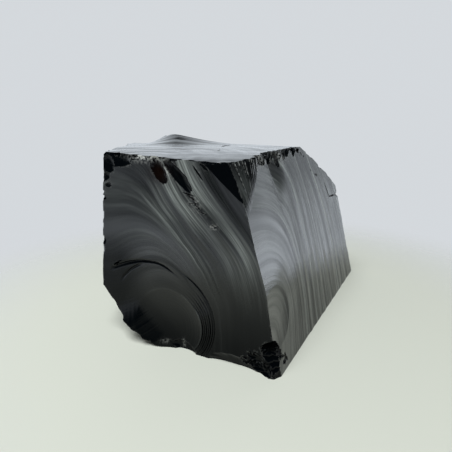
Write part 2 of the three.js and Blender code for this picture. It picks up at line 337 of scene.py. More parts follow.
class Face(NamedTuple):
    """One fracture face: a point of its plane, heading and lean of its normal, and the grid of its break.

    The grid has the focus of the break, the drift of its ring centres, ring radii as (end, step) runs and
    the number of turns. The relief gives the form and the fine detail of its height over the plane.
    """

    through: tuple
    heading: float
    lean: float
    focus: tuple
    drift: tuple
    rings: tuple
    turns: int
    relief: object

    def axes(self):
        """The face's normal and its own directions."""
        return face_axes(self.heading, self.lean)

    def radius(self, u, v):
        """The radius of the ring through a place, when ring centres drift with it: root of a quadratic."""
        p, q = u - self.focus[0], v - self.focus[1]
        lead = self.drift[0] * p + self.drift[1] * q
        spare = 1 - self.drift[0] ** 2 - self.drift[1] ** 2
        return (-lead + np.sqrt(lead**2 + spare * (p**2 + q**2))) / spare


STILL = (0, 0)
FRONT_RINGS = ((15, 1), (38, 0.3), (48, 0.7), (160, 1.5))
RIGHT_RINGS = ((10, 1), (70, 0.5), (270, 1.9))
BACK_RIGHT_RINGS = ((20, 1.5), (110, 0.8))
BACK_LEFT_RINGS = ((20, 1.5), (120, 0.9))
FACES = {
    "front": Face(FRONT_CORNER, -113.5, 0, (-47.5, 9.25), (-0.35, 0.25), FRONT_RINGS, 230, front_relief),
    "right": Face(FRONT_CORNER, -31.7, 12.7, (13, 25), (-0.54, 0), RIGHT_RINGS, 210, right_relief),
    "top": Face((0, 0, 92), -90, 90, (-48, -33), STILL, ((150, 1.3),), 150, top_relief),
    "bevel": Face(BEVEL_TIP, -103.9, 10.7, (-7.2, 12.7), STILL, ((40, 0.8),), 90, bevel_relief),
    "hackles": Face(RIDGE_TOP, -56, 25.8, (4, -8), STILL, ((60, 1.0),), 900, hackle_relief),
    "shoulder": Face(RIGHT_SHOULDER, 54.4, 65, (-46, -4), STILL, ((100, 1.1),), 120, shoulder_relief),
    "left": Face((-72.8, -22.5, 58), -180, 6.5, (-38, 30), STILL, ((100, 1.0),), 130, left_relief),
    "undercut": Face(LEFT_FOOT, 170.5, -54, (-12, 40), STILL, ((90, 1.0),), 110, undercut_relief),
    "back_right": Face(
        (66, 55.4, 20), 88, 1.5, (14, -19), (0.2, 0), BACK_RIGHT_RINGS, 130, back_right_relief
    ),
    "back_left": Face((-45, 51.5, 92), 97, 1, (0, 5), STILL, BACK_LEFT_RINGS, 130, back_left_relief),
    "back_corner": Face((-70, 37, 30), 140, -14, (0, -32), STILL, ((64, 1.0),), 90, back_corner_relief),
    "back_foot": Face((-8, 45, 0), 98, -46, (12, 14), STILL, ((70, 1.0),), 90, back_foot_relief),
}

# A face's cutter: radius of its last ring and height of its apex over the face
SHEET_REACH = 650.0
SHEET_HEIGHT = 500.0

# A scar's cutter: how far its grid runs, in parts of the radius, its ripple and roughness in depths
SCAR_REACH = 1.5
SCAR_RIPPLE = 0.12
SCAR_ROUGHNESS = 0.05

# Stepped scars: rings to a step, turns, how far the rings drift down, in widths, and the height of a step
STEP_RINGS = 8
STEP_TURNS = 96
STEP_DRIFT = 0.6
STEP_RISE = 0.8

# Waves round the rim of a ragged scar: number and height
RAGGED_RIM = ((3, 0.04), (7, 0.03), (13, 0.03))


class Flake(NamedTuple):
    """A flake scar: face, place across and up, half sizes, depth, turn in degrees, slopes across and up."""

    face: str
    across: float
    up: float
    length: float
    width: float
    depth: float
    spin: float
    slope_across: float
    slope_up: float

    def slope(self):
        """How the scar is tilted, across and up its face."""
        return self.slope_across, self.slope_up


FLAKES = [Flake(*row) for row in [
    ("front", -22, 1, 11, 6, 1.2, 4, 0, -0.2),
    ("front", -46, 1, 7, 4, 2.2, -20, 0, 0.2),
    ("front", -88.5, 49.6, 2.6, 1.8, 1.6, 90, 0, 0),
    ("front", -79, 90, 10.5, 6.5, 1.6, -6, 0.1, 0.22),
    ("front", -82.5, 84.5, 4.5, 4, 0.9, 60, 0.12, 0.25),
    ("front", -76, 88.2, 3.2, 1.7, 0.5, -20, 0.12, 0.28),
    ("front", -71, 89, 3.5, 2.2, 0.5, 10, 0.12, 0.28),
    ("front", -83.5, 79.5, 2.5, 1.6, 0.5, 40, 0.12, 0.28),
    ("front", -82.5, 76, 1.8, 1.1, 0.3, 10, 0.12, 0.28),
    ("front", -52, 90, 6, 2.4, 0.7, -12, 0.1, 0.3),
    ("front", -55, 83.5, 6.6, 3.2, 1.5, -62, 0.12, 0.22),
    ("front", -46.2, 82, 8.8, 2.5, 0.9, -43, 0.2, 0.22),
    ("front", -33.6, 86, 2.6, 0.6, 0.5, -40, 0, 0),
    ("front", -36.8, 84, 3.4, 0.4, 0.4, -52, 0, 0),
    ("front", -41, 75, 2.8, 0.22, 0.25, -12, 0, 0),
    ("front", -39, 73.2, 3, 0.22, 0.25, -30, 0, 0),
    ("front", -40, 71.2, 2.6, 0.2, 0.25, 8, 0, 0),
    ("front", -37, 70, 2.2, 0.24, 0.25, -42, 0, 0),
    ("front", -35.5, 68, 2, 0.18, 0.2, -15, 0, 0),
    ("front", -30, 62.5, 1.4, 0.5, 0.12, 20, 0, 0),
    ("front", -81.3, 38.9, 3.6, 0.5, 1.3, 33, 0, 0),
    ("right", 26, 92, 3.4, 1.7, 1.6, 85, -0.4, 0.25),
    ("right", 34.5, 87.5, 5, 1.8, 1.4, -68, -0.4, 0.25),
    ("right", 54.5, 92, 3.4, 2, 1.6, 85, -0.4, 0.25),
    ("right", 121, 59.5, 5, 2, 1.2, -8, 0, 0),
    ("right", 102, 65, 6, 0.7, 1.1, -62, 0, 0),
    ("right", 112, 60, 9, 0.6, 1.2, -4, 0, 0),
    ("top", -15, 14, 10, 1.4, 2.0, 75, 0, 0),
    ("top", -18.4, -17, 5, 0.9, 1.2, 72, 0, 0),
    ("top", -18, 52, 6, 4, 1.2, 0, 0, 0),
    ("shoulder", -52, -20, 16, 11, 1.8, 40, 0, 0),
    ("left", -14, -18, 13, 8, 1.6, 80, 0, 0),
    ("back_right", 40, 50, 22, 14, 2.8, 20, 0, 0),
    ("back_right", 60, -10, 15, 12, 2, -30, 0, 0),
    ("back_left", 10, -72, 18, 13, 2.2, 20, 0, 0),
]]

# A flake scar of less half width than this is a slit
SLIT_WIDTH = 1.5

# Scars across an edge: place, heading and lean of the scar, half sizes, depth, turn in degrees, steps
NICKS = [
    ((4.2, -56.6, 12.5), -80, 21, 13.5, 10.5, 3.2, 0, 6),
    ((8.4, -56.6, 1.5), -70, 10, 4, 3, 0.5, 0, 0),
    ((-3.5, -53.2, 4), -112, 12, 8, 4, 1.2, 12, 3),
]

# Numbers of the carved surfaces: the base, the faces, the flakes, the nicks, then all edge chips
FIRST_FLAKE = 1 + len(FACES)
FIRST_NICK = FIRST_FLAKE + len(FLAKES)
CHIP = FIRST_NICK + len(NICKS)
TAGS = CHIP + 1


def face_axes(heading, lean):
    """A face's normal and its own directions: across is level, up runs up the slope."""
    a, e = np.radians([heading, lean])
    out = np.array([np.cos(e) * np.cos(a), np.cos(e) * np.sin(a), np.sin(e)])
    across = np.array([-np.sin(a), np.cos(a), 0.0])
    return out, across, np.cross(out, across)


def grid_faces(rings, turns):
    """Faces of a polar grid: a fan round its first point, quads between rings, a cone to its last point."""
    index = 1 + np.arange(rings * turns).reshape(rings, turns)
    turned = np.roll(index, -1, axis=1)
    fan = np.stack([np.zeros(turns, int), turned[0], index[0]], -1)
    quads = np.stack([index[:-1], turned[:-1], turned[1:], index[1:]], -1).reshape(-1, 4)
    cone = np.stack([np.full(turns, rings * turns + 1), index[-1], turned[-1]], -1)
    return fan, quads, cone


def polar_cutter(number, through, axes, u, v, height_map, centre, apex):
    """A closed cutter from a polar grid of places and heights on a face.

    The grid's points are the face's point plus u across, v up and the height along the normal. A fan closes
    it at the focus and a cone joins the last ring to the apex outside the face.
    """
    out, across, up = axes
    places = np.array(through) + u[..., None] * across + v[..., None] * up + height_map[..., None] * out
    ends = [np.array(through) + p[0] * across + p[1] * up + p[2] * out for p in (centre, apex)]
    points = np.vstack([ends[0], places.reshape(-1, 3), ends[1]])
    mesh = bpy.data.meshes.new("cutter")
    mesh.from_pydata(points.tolist(), [], [row for part in grid_faces(*u.shape) for row in part.tolist()])
    return tag(mesh, number)


def tag(mesh, number):
    """Numbers a mesh's polygons through their material slot, so that each can be told after the carving."""
    for _ in range(TAGS):
        mesh.materials.append(None)
    mesh.polygons.foreach_set("material_index", np.full(len(mesh.polygons), number, np.int32))
    return mesh


def fracture_cutter(name, coarse, ring_height):
    """Everything beyond one fracture face: rings round its focus whose centre drifts as they widen."""
    face = FACES[name]
    radii = []
    start = 0.0
    for end, step in face.rings:
        radii.append(np.arange(start + step, end + 1e-6, step * coarse))
        start = end
    radii = np.concatenate(radii + [[SHEET_REACH]])
    turns = np.linspace(-np.pi, np.pi, int(face.turns / coarse), endpoint=False)
    rho, phi = np.meshgrid(radii, turns, indexing="ij")
    u = face.focus[0] + rho * (np.cos(phi) + face.drift[0])
    v = face.focus[1] + rho * (np.sin(phi) + face.drift[1])
    form, detail = face.relief(u, v, rho)
    height_map = form + ring_height * detail
    centre = (*face.focus, height_map[0].mean())
    far = (*(np.array(face.focus) + np.array(face.drift) * SHEET_REACH), SHEET_HEIGHT)
    number = 1 + list(FACES).index(name)
    return polar_cutter(number, face.through, face.axes(), u, v, height_map, centre, far)


def scar_cutter(number, through, axes, length, width, depth, spin, slope, steps):
    """What one flake took: an oval bowl, its depth falling with the square of the radius, with one ripple.

    Slopes tilt it across and up the face; a tilted bowl is flat, with the fourth power of the radius, and
    sines of the turn make its rim ragged. Steps make it an egg with its focus near the top, where each step
    rises outwards and then drops back.
    """
    rings = STEP_RINGS * steps if steps else max(6, int(length * 1.4))
    turns = STEP_TURNS if steps else 6 * rings
    part, phi = np.meshgrid(
        np.arange(1, SCAR_REACH * rings + 1) / rings,
        np.linspace(-np.pi, np.pi, turns, endpoint=False),
        indexing="ij",
    )
    flat = bool(any(slope) or steps)
    rim = 1 + flat * sum(high * np.sin(lobes * phi + lobes * number) for lobes, high in RAGGED_RIM)
    p, q = length * part * rim * np.cos(phi), width * part * rim * np.sin(phi)
    turn = np.radians(spin)
    u = p * np.cos(turn) - q * np.sin(turn)
    v = p * np.sin(turn) + q * np.cos(turn)
    rough = SCAR_ROUGHNESS * depth * waver(u, v, 0.5 * length, 1, number) * (1 - smooth(1, 1.4, part))
    if flat:
        bowl = depth * (part**4 - 1)
    else:
        bowl = depth * (part**2 - 1 - SCAR_RIPPLE * np.sin(TAU * part))
    if steps:
        v = v - STEP_DRIFT * width * part
        stair = (steps * part + 0.25 * np.sin(3 * phi) + 0.15 * np.sin(5 * phi + 1)) % 1
        bowl = bowl + STEP_RISE * (stair - 0.5) * (1 - smooth(1, 1.2, part))
    height_map = bowl + rough - slope[0] * u - slope[1] * v
    far = length + 4 * depth + SCAR_REACH * length * (abs(slope[0]) + abs(slope[1]))
    return polar_cutter(number, through, axes, u, v, height_map, (0, 0, -depth), (0, 0, far))


def flake_cutter(number, scar, factor):
    """The cutter of a flake scar that lies on one face."""
    axes = FACES[scar.face].axes()
    centre = np.array(FACES[scar.face].through) + scar.across * axes[1] + scar.up * axes[2]
    depth = scar.depth * factor
    return scar_cutter(number, centre, axes, scar.length, scar.width, depth, scar.spin, scar.slope(), 0)


def nick_cutter(number, scar, factor):
    """The cutter of a scar that lies across an edge."""
    place, heading, lean, length, width, depth, spin, steps = scar
    axes = face_axes(heading, lean)
    return scar_cutter(number, place, axes, length, width, depth * factor, spin, (0, 0), steps)


def block_mesh():
    """The unbroken block: the eight corners of a box with outward faces."""
    low, high = np.array(BLOCK, float)
    corners = np.stack(np.meshgrid(*zip(low, high), indexing="ij"), -1).reshape(-1, 3)
    faces = [(0, 1, 3, 2), (4, 6, 7, 5), (0, 4, 5, 1), (2, 3, 7, 6), (0, 2, 6, 4), (1, 5, 7, 3)]
    mesh = bpy.data.meshes.new("block")
    mesh.from_pydata(corners.tolist(), [], faces)
    return tag(mesh, 0)


def carve(block, cutters):
    """The block less every cutter, one Boolean difference after another, as a new mesh."""
    scene = bpy.context.scene.collection
    stone = bpy.data.objects.new("carving", block)
    scene.objects.link(stone)
    tools = []
    for mesh in cutters:
        tool = bpy.data.objects.new(mesh.name, mesh)
        scene.objects.link(tool)
        tools.append(tool)
        cut = stone.modifiers.new(mesh.name, "BOOLEAN")
        cut.operation = "DIFFERENCE"
        cut.solver = "MANIFOLD"
        cut.material_mode = "INDEX"
        cut.object = tool
    view = bpy.context.evaluated_depsgraph_get()
    carved = bpy.data.meshes.new_from_object(stone.evaluated_get(view))
    for thing in [stone, *tools]:
        bpy.data.objects.remove(thing)
    return carved


# Marks on the carved mesh


def read_values(items, key, width=1, kind=float):
    """One number or vector of every item, as an array."""
    values = np.empty(len(items) * width, kind)
    items.foreach_get(key, values)
    return values.reshape(-1, width) if width > 1 else values


def read_mesh(mesh):
    """The mesh as arrays: vertex places, polygon normals and tags, the vertex and polygon of each corner."""
    points = read_values(mesh.vertices, "co", 3)
    normals = read_values(mesh.polygons, "normal", 3)
    tags = read_values(mesh.polygons, "material_index", kind=np.int32)
    corner = read_values(mesh.loops, "vertex_index", kind=np.int32)
    sizes = read_values(mesh.polygons, "loop_total", kind=np.int32)
    return points, normals, tags, corner, np.repeat(np.arange(len(sizes)), sizes)


def read_edges(mesh, owner):
    """The two vertices and the two polygons of every edge."""
    ends = read_values(mesh.edges, "vertices", 2, np.int32)
    edge = read_values(mesh.loops, "edge_index", kind=np.int32)
    return ends, owner[np.argsort(edge, kind="stable")].reshape(-1, 2)


# Cost of a gap between two normals, in millimetres
NORMAL_COST = 25


def face_numbers(points, normals, tags, corner, owner):
    """The face each polygon belongs to, base last: by its tag, a flake's by its list entry.

    Nicks and chips take the face with the least cost: the distance from its plane plus the normals' gap.
    """
    middle = np.column_stack([np.bincount(owner, points[corner, axis]) for axis in range(3)])
    middle /= np.bincount(owner)[:, None]
    costs = []
    for face in FACES.values():
        out = face.axes()[0]
        costs.append(np.abs((middle - np.array(face.through)) @ out) + NORMAL_COST * (1 - normals @ out))
    names = list(FACES)
    known = np.array([len(FACES), *range(len(FACES)), *(names.index(scar.face) for scar in FLAKES)])
    return np.where(tags < FIRST_NICK, known[np.minimum(tags, FIRST_NICK - 1)], np.argmin(costs, axis=0))


# A corner's values are the flow map across and along, then these, which the material reads by name
CORNER_VALUES = ("sheen", "bruise", "rust", "streak", "blur", "gloss")
SHEEN, STREAK, COAT_SHADE = (2 + CORNER_VALUES.index(name) for name in ("sheen", "streak", "gloss"))
PLAIN_SHEEN = 0.2
PLAIN_STREAK = 0.4
PLAIN_GLOSS = 0.5
BASE_SHEEN = 0.3

# Painted shade on a polygon that leans away from its face: it loses this share of the sheen over that gap of
# normals
LEAN_SHADE = 0.85
LEAN_GAP = (0.03, 0.09)

# Painted shade in scars and chips, so that they come out black: the share of the sheen that stays, and the
# coat weight
DARKENED_SHEEN = 0.1
DARKENED_COAT = 0.04

# Cosines of the bends over which an edge is sharp and worn
SHARP_BEND = np.cos(np.radians(10))
WORN_BEND = 0.8

# Bruises: place across and up the face, half widths, strength
FRONT_BRUISES = (
    (-61, 89.6, 7, 1.6, 1.4), (-56, 3, 2, 1, 0.25), (-47, 3, 0.8, 2.6, 0.25), (-30, 62.5, 1.6, 0.7, 0.6),
    (-38, 71, 2.4, 3, 0.2),
)
RIGHT_BRUISES = ((18, 91, 5, 3, 0.5), (39, 91, 4, 3, 0.5))


def bruises(u, v, places):
    """The bells of a face's bruises, each times its strength, added up."""
    return sum(part * spot(u, v, *place) for *place, part in places)


def front_marks(u, v, face):
    """Where bands shine on the front: the slanting bundle right of the dish, faint arcs above, none inside.

    Like the marks of every face it gives the flow across and along, then the rows of CORNER_VALUES.
    """
    flow = FRONT_FLOW(u, v)
    bundle = (
        0.75 * hump(flow, 51.5, 6) * smooth(52, 76, v)
        + 0.36 * hump(flow, 61, 6) * smooth(34, 52, v)
        + 0.4 * hump(flow, 40, 4) * smooth(34, 56, v) * (1 - smooth(64, 78, v))
        + 0.35 * hump(flow, 68, 4) * smooth(40, 56, v)
        + 0.9 * hump(flow, 63.5, 4.5) * smooth(64, 78, v)
        + 0.22 * spot(u, v, -20, 45, 14, 16)
    )
    above_pit = 1 - smooth(76, 82, v) * (1 - smooth(46, 49, flow))
    arcs = 0.16 * (hump(flow, 39, 1.2) + hump(flow, 33, 1.3) + 0.7 * hump(flow, 29, 1.0))
    rim = np.hypot(u - DISH[0], v - DISH[1])
    # A thin light line along part of the dish's rim: painted highlight
    rim_highlight = 0.6 * hump(rim, 17, 0.45) * smooth(-4, 4, u + v + 40)
    clear = smooth(16, 18, rim) * (0.2 + 0.8 * smooth(16, 40, v + 0.3 * u))
    sheen = (0.05 + bundle * above_pit + arcs) * clear + rim_highlight
    from_height = 28 + 26 * smooth(45, 49, flow)
    streak = above_pit * smooth(from_height, from_height + 20, v)
    along, across = 0.66 * (u + 53) - 0.75 * (v - 85.6), 0.75 * (u + 53) + 0.66 * (v - 85.6)
    bruise = bruises(u, v, FRONT_BRUISES) + 0.8 * spot(along, across, 0, 0, 4, 0.7)
    rust = hump(np.hypot(u + 55, v - 83.3), 0, 4.5)
    blur = smooth(3, 8, -(u + v + 40) / 2**0.5) * (1 - smooth(18, 30, v))
    # Coat weight with painted shade and painted reflection: weak at the bottom, at the lower left, at the
    # lower right and along the cracks, weaker again at the top, stronger above the dish
    gloss = 0.03 + 0.58 * smooth(4, 34, v) - 0.26 * smooth(50, 66, v) + 0.2 * spot(u, v, -50, 45, 16, 9)
    gloss = gloss * (1 - 0.95 * (1 - smooth(-80, -60, u)) * (1 - smooth(40, 64, v)))
    gloss = gloss * (1 - 0.45 * smooth(-36, -12, u) * (1 - smooth(20, 44, v)))
    gloss = gloss * np.exp(-5 * front_cracks(u, v, face.radius(u, v)))
    return flow, (v - u) / 2**0.5, sheen, bruise, rust, streak, blur, gloss


def right_marks(u, v, face):
    """Where bands shine on the right face: faint arcs round its focus and long streaks up the face."""
    flow = RIGHT_FLOW(u, v)
    none = 0 * u
    # Sheen of the bands, taken down near the top: painted shade
    sheen = 0.14 + 0.3 * smooth(30, 50, flow) - 0.15 * smooth(74, 90, v)
    sheen = sheen + 0.2 * hump(flow, 26, 9) * smooth(10, 30, v)
    # Coat weight with painted shade and painted reflection: stronger low beside the ridge, weaker further
    # out, towards the top, and low on the far part
    gloss = 0.55 + 0.2 * hump(u, 2, 10) * (1 - smooth(34, 50, v)) - 0.2 * smooth(15, 45, u)
    gloss = gloss - 0.29 * smooth(56, 82, v) - 0.2 * (1 - smooth(5, 30, v)) * smooth(15, 35, u)
    gloss = gloss * (1 - 0.5 * (1 - smooth(3, 17, u)) * smooth(60, 74, v))
    streak = 0.4 + 0.45 * smooth(16, 34, u)
    shifted = RIGHT_SHIFT + flow + 25 * (1 - np.exp(-flow / 25))
    return shifted, v - 0.5 * u, sheen, bruises(u, v, RIGHT_BRUISES), none, streak, none, gloss


def top_marks(u, v, face):
    """Bands on the top: nearly level with its front edge, a little uneven."""
    none = 0 * u
    flow = 0.5 * (v + 0.05 * u + waver(u, v, 60, 1.5, 37))
    return flow, u, none + 0.16, none, none, none + 0.5, none, none + 0.6


def hackle_marks(u, v, face):
    """Bands along the hackles: the flow is the turn of their fan; each stroke is bruised and has a painted
    highlight.
    """
    none = 0 * u
    strokes = hackles(u, v)
    # Painted reflection: grey low down, where the hackles blend into the right face; painted highlight along
    # each stroke
    sheen = 0.1 + 0.22 * (1 - smooth(9, 18, v)) + 0.9 * strokes
    return 25 * fan_turn(u, v), v, sheen, 0.4 * strokes, none, none + PLAIN_STREAK, none, none + 0.65


def plain_marks(u, v, face, sheen=PLAIN_SHEEN):
    """Bands on the other faces: loose arcs round the focus that drift across the face."""
    none = 0 * u
    rho = face.radius(u, v)
    inward = np.arctan2(np.mean(v) - face.focus[1], np.mean(u) - face.focus[0])
    turn = (np.arctan2(v - face.focus[1], u - face.focus[0]) - inward + np.pi) % TAU - np.pi
    flow = 0.35 * rho + 0.5 * (0.5 * u + 0.85 * v) + waver(u, v, 55, 3.0, 43)
    along = turn * np.maximum(rho, 12)
    return flow, along, none + sheen, none, none, none + PLAIN_STREAK, none, none + PLAIN_GLOSS


def bevel_marks(u, v, face):
    """The bevel's bands are taken away: painted shade, so that the bevel comes out black."""
    return plain_marks(u, v, face, 0.0)


MARKS = {
    "front": front_marks,
    "right": right_marks,
    "top": top_marks,
    "bevel": bevel_marks,
    "hackles": hackle_marks,
}


def corner_marks(points, normals, tags, corner, owner):
    """The values of every face corner, row by row: by its face, with painted shade on tilted scars, slits and
    chips.
    """
    kind = face_numbers(points, normals, tags, corner, owner)[owner]
    normal = normals[owner]
    values = np.zeros((2 + len(CORNER_VALUES), len(corner)))
    for number, (name, face) in enumerate(FACES.items()):
        mine = kind == number
        out, across, up = face.axes()
        reach = points[corner[mine]] - np.array(face.through)
        values[:, mine] = MARKS.get(name, plain_marks)(reach @ across, reach @ up, face)
        # Painted shade: sheen fades where a polygon leans away from its face
        values[SHEEN, mine] *= 1 - LEAN_SHADE * smooth(*LEAN_GAP, 1 - normal[mine] @ out)
    # Painted shade: tilted scars, slits, nicks and chips lose their bands and most of their coat, so that
    # they come out black
    scars = enumerate(FLAKES, FIRST_FLAKE)
    dark = [number for number, scar in scars if any(scar.slope()) or scar.width < SLIT_WIDTH]
    painted_dark = np.isin(tags, dark + list(range(FIRST_NICK, TAGS)))[owner]
    values[SHEEN, painted_dark] *= DARKENED_SHEEN
    values[STREAK, painted_dark] = 0
    values[COAT_SHADE, painted_dark] = DARKENED_COAT
    base = kind == len(FACES)
    values[:2, base] = points[corner[base], :2].T
    values[SHEEN, base], values[STREAK, base], values[COAT_SHADE, base] = BASE_SHEEN, PLAIN_STREAK, PLAIN_GLOSS
    return values


def mark_stone(mesh):
    """Writes the flow map in centimetres, the other corner values, the sharp edges and where they are worn.

    An edge is sharp where surfaces of two numbers meet at a clear bend, but the right face and the hackles
    run into each other.
    """
    points, normals, tags, corner, owner = read_mesh(mesh)
    values = corner_marks(points, normals, tags, corner, owner)
    flow = mesh.uv_layers.new(name="flow")
    flow.uv.foreach_set("vector", (0.1 * values[:2].T).astype(np.float32).ravel())
    for name, row in zip(CORNER_VALUES, values[2:]):
        mesh.attributes.new(name, "FLOAT", "CORNER").data.foreach_set("value", row.astype(np.float32))
    ends, pairs = read_edges(mesh, owner)
    bend = (normals[pairs[:, 0]] * normals[pairs[:, 1]]).sum(-1)
    sharp = (tags[pairs[:, 0]] != tags[pairs[:, 1]]) & (bend < SHARP_BEND)
    names = list(FACES)
    soft = np.sort(tags[pairs], axis=1) == sorted(1 + names.index(name) for name in ("right", "hackles"))
    sharp &= ~soft.all(axis=1)
    mesh.edges.foreach_set("use_edge_sharp", sharp)
    worn = np.zeros(len(points), np.float32)
    worn[ends[sharp & (bend < WORN_BEND)].ravel()] = 1
    mesh.attributes.new("wear", "FLOAT", "POINT").data.foreach_set("value", worn)
    mesh.polygons.foreach_set("material_index", np.zeros(len(tags), np.int32))
    mesh.materials.clear()


# Chips along the edges

# Chips along the sharp edges: least bend in degrees, least height, how far they keep from the upright line
# through a point of the front ridge, largest reach, depth as a part of the reach
CHIP_BEND = 30
CHIP_LOWEST = 3
RIDGE_MIDDLE = (1.0, -54.5)
RIDGE_CLEARANCE = 16
CHIP_REACH = 3.0
CHIP_DEPTH = 0.15
CRUMB_DEPTH = 0.3

# Crumbs: scatter of their places and directions, and of heading and lean in degrees
CRUMB_SCATTER = 0.6
CRUMB_SWAY = 5
CRUMB_TURN = 22
CRUMB_TILT = 14

# All chips: seed of their draws, range of the depth, clear distance in reaches, rings and turns of a bowl,
# height of the point that closes it, in depths
CHIP_SEED = 41
DEPTH_RANGE = (0.7, 1.4)
CHIP_CLEARANCE = 2.2
CHIP_RINGS = (0.3, 0.6, 0.8, 1.0, 1.2, 1.4)
CHIP_TURNS = 18
CHIP_APEX = 12

# Crumbled stretches: start, end, heading and lean of the chips, count, least and largest reach
CRUMBLED = [
    ((-3.5, -36.5, 90.5), (19, 0, 90.5), -50, 36, 26, 1.0, 2.8),
    ((23, 6.5, 90), (42, 28, 69), -50, 30, 8, 0.4, 0.9),
    ((-69, -24, 90), (-54, -30.5, 89), -108, 34, 14, 0.9, 2.0),
    ((-69.5, -24, 88), (-71.5, -23, 66), -112, 32, 8, 0.6, 1.2),
    ((-10, -50.4, 2.5), (-1, -54.2, 8), -112, 14, 14, 1.4, 3.0),
    ((6.2, -55, 12), (10.8, -51, 3), -48, 20, 10, 1.2, 2.6),
    ((-1, -33, 88.8), (14, -8, 89.2), -42, 27, 16, 1.6, 3.4),
    ((14, -8, 89.6), (23, 6.5, 90), -42, 30, 9, 0.9, 2.0),
]


def edge_chips(mesh, count, draw):
    """Small chips along the sharp edges but the front ridge: places, normals, directions, reaches, depth.

    Places are drawn along the edges by length. The normal of a chip halves the two faces' normals.
    """
    points, normals, tags, _, owner = read_mesh(mesh)
    ends, pairs = read_edges(mesh, owner)
    a, b = points[ends].transpose(1, 0, 2)
    sides = normals[pairs]
    bend = np.degrees(np.arccos(np.clip((sides[:, 0] * sides[:, 1]).sum(-1), -1, 1)))
    length = np.linalg.norm(b - a, axis=1)
    apart = (tags[pairs[:, 0]] != tags[pairs[:, 1]]) & (tags[pairs] < FIRST_FLAKE).all(axis=1)
    middle = 0.5 * (a + b)
    ridge = np.hypot(*(middle[:, :2] - RIDGE_MIDDLE).T) < RIDGE_CLEARANCE
    fit = (bend > CHIP_BEND) & apart & ~ridge & (middle[:, 2] > CHIP_LOWEST)
    pick = draw.choice(len(length), count, p=length * fit / (length * fit).sum())
    place = a[pick] + (b - a)[pick] * draw.uniform(0, 1, (count, 1))
    reach = draw.uniform(0.8, 1, count) ** 3 * CHIP_REACH
    return place, sides[pick].sum(1), (b - a)[pick], reach, CHIP_DEPTH


def crumbs(run, draw):
    """Larger chips strewn along a crumbled stretch, each turned at random from the stretch's own normal."""
    start, end, heading, lean, count, small, large = run
    along = np.array(end, float) - np.array(start)
    place = np.array(start) + draw.uniform(0, 1, (count, 1)) * along
    place = place + draw.normal(0, CRUMB_SCATTER, (count, 3))
    a = np.radians(heading + draw.normal(0, CRUMB_TURN, count))
    e = np.radians(lean + draw.normal(0, CRUMB_TILT, count))
    out = np.stack([np.cos(e) * np.cos(a), np.cos(e) * np.sin(a), np.sin(e)], -1)
    along = along + draw.normal(0, CRUMB_SWAY, (count, 3))
    return place, out, along, draw.uniform(small, large, count), CRUMB_DEPTH


def chip_cutters(mesh, count):
    """Cutters of all chips, in batches whose chips stay clear of each other."""
    draw = np.random.default_rng(CHIP_SEED)
    groups = [edge_chips(mesh, count, draw)] if count else []
    groups += [crumbs(run, draw) for run in CRUMBLED]
    place, out, along, reach = [np.concatenate([group[part] for group in groups]) for part in range(4)]
    depth = reach * np.concatenate([np.full(len(group[3]), group[4]) for group in groups])
    depth *= draw.uniform(*DEPTH_RANGE, len(depth))
    batches = []
    for number in np.argsort(-reach):
        for batch in batches:
            gap = np.linalg.norm(place[batch] - place[number], axis=1)
            if np.all(gap > CHIP_CLEARANCE * (reach[batch] + reach[number])):
                batch.append(number)
                break
        else:
            batches.append([number])
    twist = draw.uniform(0, TAU, len(depth))
    return [chip_batch(place[b], out[b], along[b], reach[b], depth[b], twist[b]) for b in batches]


def chip_batch(place, out, along, reach, depth, twist):
    """One cutter mesh of many chips: at every place a flat polar bowl with a wavy rim, closed by a point."""
    turns = np.linspace(0, TAU, CHIP_TURNS, endpoint=False)
    part, phi = np.meshgrid(CHIP_RINGS, turns, indexing="ij")
    out = out / np.linalg.norm(out, axis=1, keepdims=True)
    up = np.cross(out, along)
    up /= np.linalg.norm(up, axis=1, keepdims=True)
    across = np.cross(up, out)
    twist = twist[:, None, None]
    rim = (1 + 0.3 * np.sin(3 * phi + twist) + 0.2 * np.sin(5 * phi + 2 * twist)) * part
    height_map = np.broadcast_to(part**4 - 1, rim.shape)
    bowl = np.stack([rim * np.cos(phi), rim * np.sin(phi), height_map], -1).reshape(len(place), -1, 3)
    ends = np.broadcast_to(np.array([[0.0, 0, -1], [0, 0, CHIP_APEX]]), (len(place), 2, 3))
    bowl = np.concatenate([ends[:, :1], bowl, ends[:, 1:]], axis=1)
    local = bowl * np.stack([reach, 0.8 * reach, depth], -1)[:, None]
    points = place[:, None] + local @ np.stack([across, up, out], 1)
    shift = (bowl.shape[1] * np.arange(len(place)))[:, None, None]
    faces = []
    for rows in grid_faces(*phi.shape):
        faces += (rows[None] + shift).reshape(-1, rows.shape[1]).tolist()
    mesh = bpy.data.meshes.new("chips")
    mesh.from_pydata(points.reshape(-1, 3).tolist(), [], faces)
    return tag(mesh, CHIP)


def build_stone(shape):
    """The finished stone mesh in metres: fractures, flake scars, then chips along the edges that are left."""
    faces = [fracture_cutter(name, shape.grid_step, shape.ring_height) for name in FACES]
    deep = shape.flake_depth
    scars = [flake_cutter(number, scar, deep) for number, scar in enumerate(FLAKES, FIRST_FLAKE)]
    scars += [nick_cutter(number, scar, deep) for number, scar in enumerate(NICKS, FIRST_NICK)]
    mesh = carve(block_mesh(), faces + scars)
    mesh = carve(mesh, chip_cutters(mesh, shape.chips))
    mesh.name = NODE
    mesh.shade_smooth()
    mark_stone(mesh)
    mesh.transform(Matrix.Scale(MM, 4))
    return mesh


# Materials


def fill_inputs(tree, node, inputs):
    """Sets a node's inputs by name or number: a socket is linked, anything else is the value."""
    for key, value in inputs.items():
        if isinstance(value, bpy.types.NodeSocket):
            tree.links.new(value, node.inputs[key])
        else:
            node.inputs[key].default_value = value


